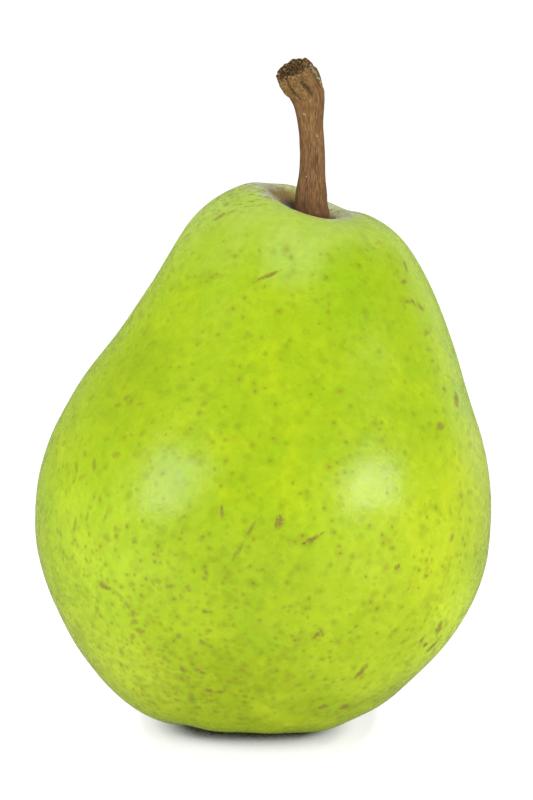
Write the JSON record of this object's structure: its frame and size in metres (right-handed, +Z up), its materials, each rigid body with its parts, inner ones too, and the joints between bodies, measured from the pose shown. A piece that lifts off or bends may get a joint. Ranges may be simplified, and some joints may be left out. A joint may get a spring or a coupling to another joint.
{
  "type": "pear",
  "caption": "Fresh green pear with a bent woody stem, a lopsided neck and a lobed base that it stands on.",
  "frame": {"origin": "On the surface that the pear stands on, under the middle of its box", "axes": "+Z up along the fruit, from blossom end to stem; the neck leans towards +X; -Y is the side seen first"},
  "size_m": [0.0782, 0.0784, 0.1129],
  "materials": {
    "skin": "smooth waxy yellow-green skin with fine brown lenticels and small russet marks, soft gloss",
    "stem_wood": "dull brown bark with lengthwise ridges, and a darker rough scar at its end",
    "dried_calyx": "dull, dry and dark brown"
  },
  "bodies": {
    "root": {"fruit": "skin", "stem": "stem_wood", "stamen_tuft": "dried_calyx", "sepal_1": "dried_calyx", "sepal_2": "dried_calyx", "sepal_3": "dried_calyx", "sepal_4": "dried_calyx", "sepal_5": "dried_calyx"}
  },
  "joints": []
}
